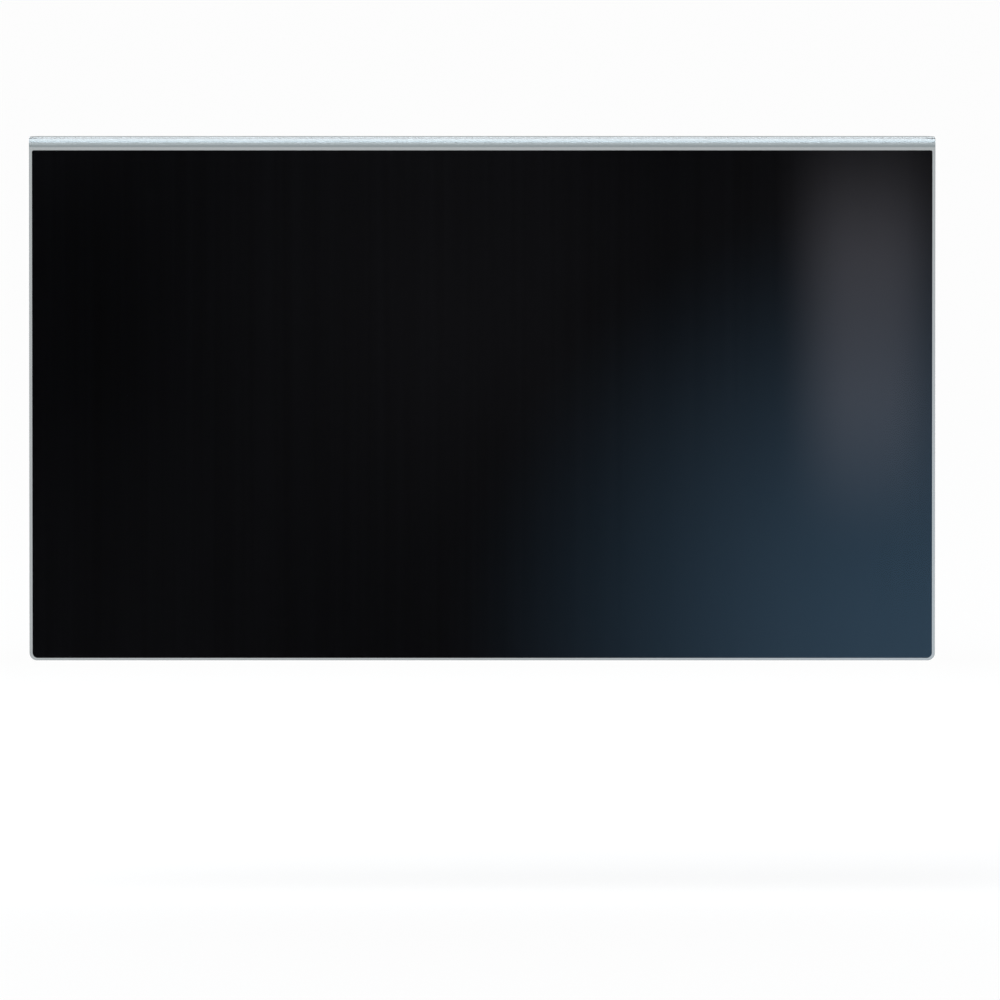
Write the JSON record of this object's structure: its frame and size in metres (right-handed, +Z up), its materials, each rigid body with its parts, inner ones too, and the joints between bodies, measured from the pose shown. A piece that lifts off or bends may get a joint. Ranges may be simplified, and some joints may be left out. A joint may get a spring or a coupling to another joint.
{
  "type": "monitor privacy filter",
  "caption": "Clear acrylic sheet whose top edge is bent into a lip that hangs over a monitor, with a dark louvre film laminated just inside its edges to block side views.",
  "frame": {"origin": "middle of the lip's underside, the face that bears on the monitor's top edge", "axes": "+X along the lip, +Y from the viewer towards the screen, +Z up as it hangs"},
  "size_m": [0.608, 0.0301, 0.351],
  "materials": {
    "clear_acrylic": "clear polished acrylic sheet",
    "louvre_film": "near-black satin film"
  },
  "bodies": {
    "root": {"acrylic_panel": "clear_acrylic", "privacy_film": "louvre_film"}
  },
  "joints": []
}
